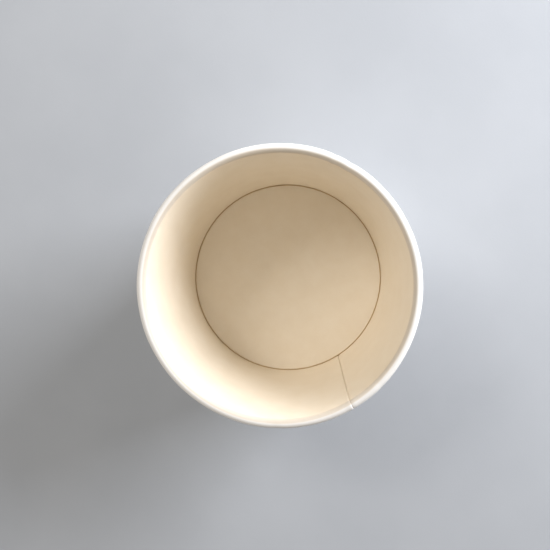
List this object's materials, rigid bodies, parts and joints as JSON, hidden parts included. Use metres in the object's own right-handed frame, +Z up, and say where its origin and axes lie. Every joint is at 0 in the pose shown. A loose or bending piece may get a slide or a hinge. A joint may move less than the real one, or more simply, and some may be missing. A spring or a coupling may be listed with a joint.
{
  "type": "paper soup container",
  "caption": "Round tapered paper soup container with a rolled rim, a lapped side seam and a recessed base disc held in a folded foot.",
  "frame": {"origin": "middle of the foot's lowest plane, on the container's axis", "axes": "+Z up the axis, out of the mouth; +X towards the cut end of the wall's inner lap, at the side seam"},
  "size_m": [0.09, 0.09, 0.062],
  "materials": {
    "wall_board": "white coated paperboard, warm inside, satin from its thin film",
    "base_board": "coated paperboard, a shade duller than the wall"
  },
  "bodies": {
    "root": {"sidewall": "wall_board", "base_disc": "base_board"}
  },
  "joints": []
}
